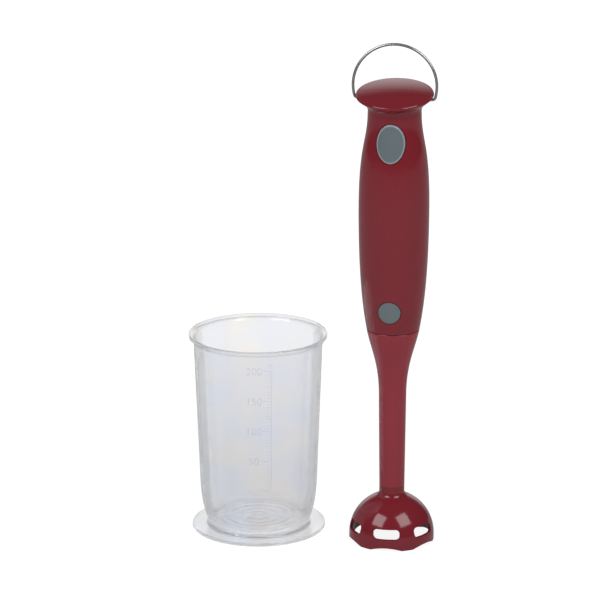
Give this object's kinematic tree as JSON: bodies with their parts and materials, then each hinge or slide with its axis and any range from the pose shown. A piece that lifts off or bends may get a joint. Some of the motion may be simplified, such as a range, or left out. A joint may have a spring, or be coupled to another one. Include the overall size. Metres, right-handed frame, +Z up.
{
  "type": "toy mixer",
  "caption": "Toy stick mixer with a round waisted handle, push buttons, wire hanging loop and plug-in foot with a slotted blade guard, beside a clear flared beaker.",
  "frame": {"origin": "on the table under the mixer's axis, at the centre of the circle that the guard stands on", "axes": "+Z up along the mixer's axis, the buttons face -Y, +X to the right of someone who faces them"},
  "size_m": [0.1369, 0.076, 0.2772],
  "materials": {
    "red_abs": "deep red, polished moulding",
    "red_foot_abs": "deep red, polished moulding, a little lighter",
    "grey_abs": "cool grey, satin moulding",
    "clear_styrene": "clear moulding with a faint lilac tint",
    "steel_wire": "bright drawn wire",
    "zinc_screw": "zinc plated",
    "black_moulding": "black moulding",
    "natural_nylon": "natural nylon",
    "cell_sleeve": "printed sleeve, left plain",
    "contact_plate": "nickel plated strip",
    "spring_steel": "spring wire",
    "motor_steel": "drawn steel",
    "ferrite": "ferrite and laminated iron",
    "lead_sheath": "sheathed wire"
  },
  "bodies": {
    "handle": {"handle_front_shell": "red_abs", "handle_rear_shell": "red_abs", "shell_screws": "zinc_screw", "battery_cover": "red_abs", "battery_cover_screw": "zinc_screw", "battery_box": "black_moulding", "battery_cells": "cell_sleeve", "series_contact": "contact_plate", "terminal_contacts": "contact_plate", "battery_springs": "spring_steel", "motor_mount": "black_moulding", "motor_mount_screws": "zinc_screw", "motor_can": "motor_steel", "motor_end_cap": "black_moulding", "motor_magnets": "ferrite", "power_switch": "black_moulding", "power_button_spring": "spring_steel", "release_button_spring": "spring_steel", "latch_spring": "spring_steel", "wire_leads": "lead_sheath"},
    "power_button": {"power_button": "grey_abs", "switch_plunger": "natural_nylon"},
    "release_button": {"release_button": "grey_abs"},
    "hanging_loop": {"hanging_loop": "steel_wire"},
    "rotor": {"motor_armature": "ferrite", "drive_coupling_upper": "natural_nylon"},
    "mixing_foot": {"foot_tube": "red_foot_abs", "foot_spigot": "black_moulding", "upper_bush": "natural_nylon", "blade_guard": "red_foot_abs", "lower_bush": "natural_nylon"},
    "foot_drive": {"drive_shaft": "motor_steel", "shaft_clip": "spring_steel", "blade": "grey_abs", "drive_coupling_lower": "natural_nylon"},
    "beaker": {"beaker_cup": "clear_styrene", "beaker_base": "clear_styrene"}
  },
  "joints": [
    {"name": "power_button_press", "type": "slide", "parent": "handle", "child": "power_button", "axis": [0, 1, 0], "range_m": [0, 0.002], "stiffness_N_per_m": 400, "deforming": ["power_button_spring"]},
    {"name": "release_button_press", "type": "slide", "parent": "handle", "child": "release_button", "axis": [0, 1, 0], "range_m": [0, 0.0012], "stiffness_N_per_m": 500, "deforming": ["release_button_spring", "latch_spring"]},
    {"name": "loop_swing", "type": "hinge", "parent": "handle", "child": "hanging_loop", "pos_m": [0, 0, 0.2472], "axis": [1, 0, 0], "range_deg": [-130, 130]},
    {"name": "rotor_spin", "type": "hinge", "parent": "handle", "child": "rotor", "pos_m": [0, 0, 0.1433], "axis": [0, 0, 1], "continuous": true},
    {"name": "foot_pull_off", "type": "slide", "parent": "handle", "child": "mixing_foot", "axis": [0, 0, -1], "range_m": [0, 0.03]},
    {"name": "drive_spin", "type": "hinge", "parent": "mixing_foot", "child": "foot_drive", "pos_m": [0, 0, 0.06], "axis": [0, 0, 1], "continuous": true},
    {"name": "beaker_lift", "type": "slide", "parent": "handle", "child": "beaker", "axis": [0, 0, 1], "range_m": [0, 0.15]}
  ],
  "couplings": [
    {"joint": "drive_spin", "follows": "rotor_spin", "ratio": 1}
  ]
}
